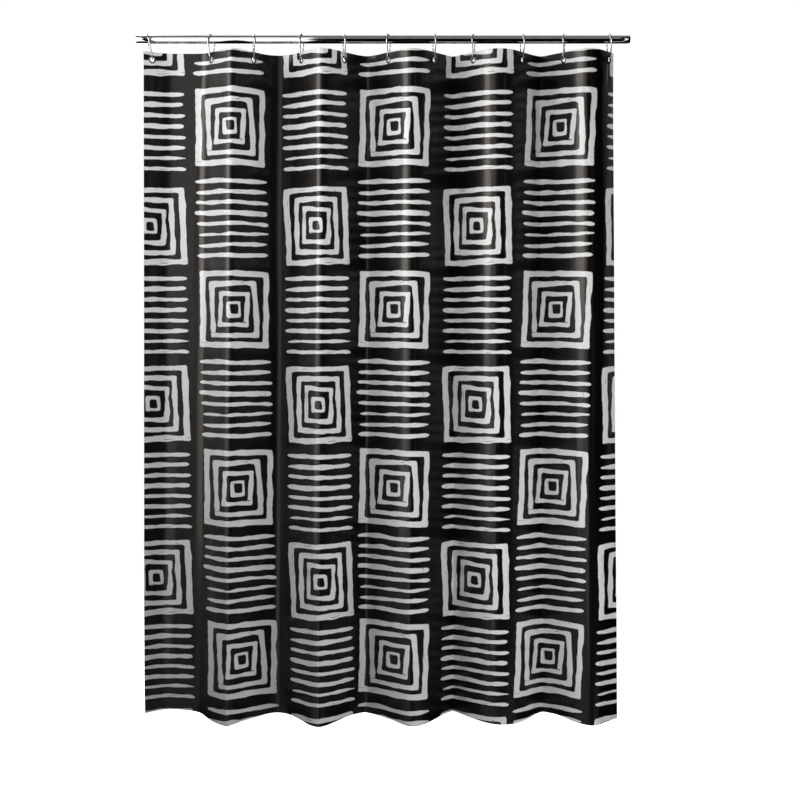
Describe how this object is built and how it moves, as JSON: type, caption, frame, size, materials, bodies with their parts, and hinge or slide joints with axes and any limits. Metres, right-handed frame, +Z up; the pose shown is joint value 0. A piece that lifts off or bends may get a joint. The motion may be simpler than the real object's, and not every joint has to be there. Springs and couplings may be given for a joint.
{
  "type": "shower curtain",
  "caption": "Printed film shower curtain hung in folds on a straight round rod by metal eyelets and sprung pear-shaped wire rings.",
  "frame": {"origin": "middle of the rod, on its axis, where what holds the rod's two ends holds the part up", "axes": "+X along the rod, to the right seen from the printed side; +Y away from the printed side; +Z up"},
  "size_m": [1.32, 0.1586, 1.8472],
  "materials": {
    "rod_chrome": "polished",
    "ring_chrome": "polished",
    "eyelet_metal": "dark polished nickel",
    "printed_film": "glossy black film with an off-white hand-brushed print of nested squares and bars"
  },
  "bodies": {
    "rod": {"curtain_rod": "rod_chrome"},
    "curtain": {"curtain_sheet": "printed_film"},
    "hanger_01": {"ring_01": "ring_chrome", "eyelet_front_01": "eyelet_metal", "eyelet_washer_01": "eyelet_metal"},
    "hanger_02": {"ring_02": "ring_chrome", "eyelet_front_02": "eyelet_metal", "eyelet_washer_02": "eyelet_metal"},
    "hanger_03": {"ring_03": "ring_chrome", "eyelet_front_03": "eyelet_metal", "eyelet_washer_03": "eyelet_metal"},
    "hanger_04": {"ring_04": "ring_chrome", "eyelet_front_04": "eyelet_metal", "eyelet_washer_04": "eyelet_metal"},
    "hanger_05": {"ring_05": "ring_chrome", "eyelet_front_05": "eyelet_metal", "eyelet_washer_05": "eyelet_metal"},
    "hanger_06": {"ring_06": "ring_chrome", "eyelet_front_06": "eyelet_metal", "eyelet_washer_06": "eyelet_metal"},
    "hanger_07": {"ring_07": "ring_chrome", "eyelet_front_07": "eyelet_metal", "eyelet_washer_07": "eyelet_metal"},
    "hanger_08": {"ring_08": "ring_chrome", "eyelet_front_08": "eyelet_metal", "eyelet_washer_08": "eyelet_metal"},
    "hanger_09": {"ring_09": "ring_chrome", "eyelet_front_09": "eyelet_metal", "eyelet_washer_09": "eyelet_metal"},
    "hanger_10": {"ring_10": "ring_chrome", "eyelet_front_10": "eyelet_metal", "eyelet_washer_10": "eyelet_metal"},
    "hanger_11": {"ring_11": "ring_chrome", "eyelet_front_11": "eyelet_metal", "eyelet_washer_11": "eyelet_metal"}
  },
  "joints": [
    {"name": "curtain_swing", "type": "hinge", "parent": "rod", "child": "curtain", "pos_m": [0, 0, 0], "axis": [1, 0, 0], "range_deg": [-20, 20]},
    {"name": "curtain_draw", "type": "slide", "parent": "curtain", "child": "hanger_11", "axis": [1, 0, 0], "range_m": [-1.01746, 0], "deforming": ["curtain_sheet"]},
    {"name": "ring_slide_01", "type": "slide", "parent": "curtain", "child": "hanger_01", "axis": [1, 0, 0], "range_m": [-0.022, 0]},
    {"name": "ring_slide_02", "type": "slide", "parent": "curtain", "child": "hanger_02", "axis": [1, 0, 0], "range_m": [-0.1511, 0]},
    {"name": "ring_slide_03", "type": "slide", "parent": "curtain", "child": "hanger_03", "axis": [1, 0, 0], "range_m": [-0.2431, 0]},
    {"name": "ring_slide_04", "type": "slide", "parent": "curtain", "child": "hanger_04", "axis": [1, 0, 0], "range_m": [-0.3478, 0]},
    {"name": "ring_slide_05", "type": "slide", "parent": "curtain", "child": "hanger_05", "axis": [1, 0, 0], "range_m": [-0.4411, 0]},
    {"name": "ring_slide_06", "type": "slide", "parent": "curtain", "child": "hanger_06", "axis": [1, 0, 0], "range_m": [-0.5372, 0]},
    {"name": "ring_slide_07", "type": "slide", "parent": "curtain", "child": "hanger_07", "axis": [1, 0, 0], "range_m": [-0.6362, 0]},
    {"name": "ring_slide_08", "type": "slide", "parent": "curtain", "child": "hanger_08", "axis": [1, 0, 0], "range_m": [-0.7223, 0]},
    {"name": "ring_slide_09", "type": "slide", "parent": "curtain", "child": "hanger_09", "axis": [1, 0, 0], "range_m": [-0.8285, 0]},
    {"name": "ring_slide_10", "type": "slide", "parent": "curtain", "child": "hanger_10", "axis": [1, 0, 0], "range_m": [-0.9189, 0]}
  ],
  "couplings": [
    {"joint": "ring_slide_01", "follows": "curtain_draw", "ratio": 0.021115},
    {"joint": "ring_slide_02", "follows": "curtain_draw", "ratio": 0.14805},
    {"joint": "ring_slide_03", "follows": "curtain_draw", "ratio": 0.23839},
    {"joint": "ring_slide_04", "follows": "curtain_draw", "ratio": 0.34131},
    {"joint": "ring_slide_05", "follows": "curtain_draw", "ratio": 0.43303},
    {"joint": "ring_slide_06", "follows": "curtain_draw", "ratio": 0.52748},
    {"joint": "ring_slide_07", "follows": "curtain_draw", "ratio": 0.62484},
    {"joint": "ring_slide_08", "follows": "curtain_draw", "ratio": 0.70946},
    {"joint": "ring_slide_09", "follows": "curtain_draw", "ratio": 0.81383},
    {"joint": "ring_slide_10", "follows": "curtain_draw", "ratio": 0.90264}
  ]
}
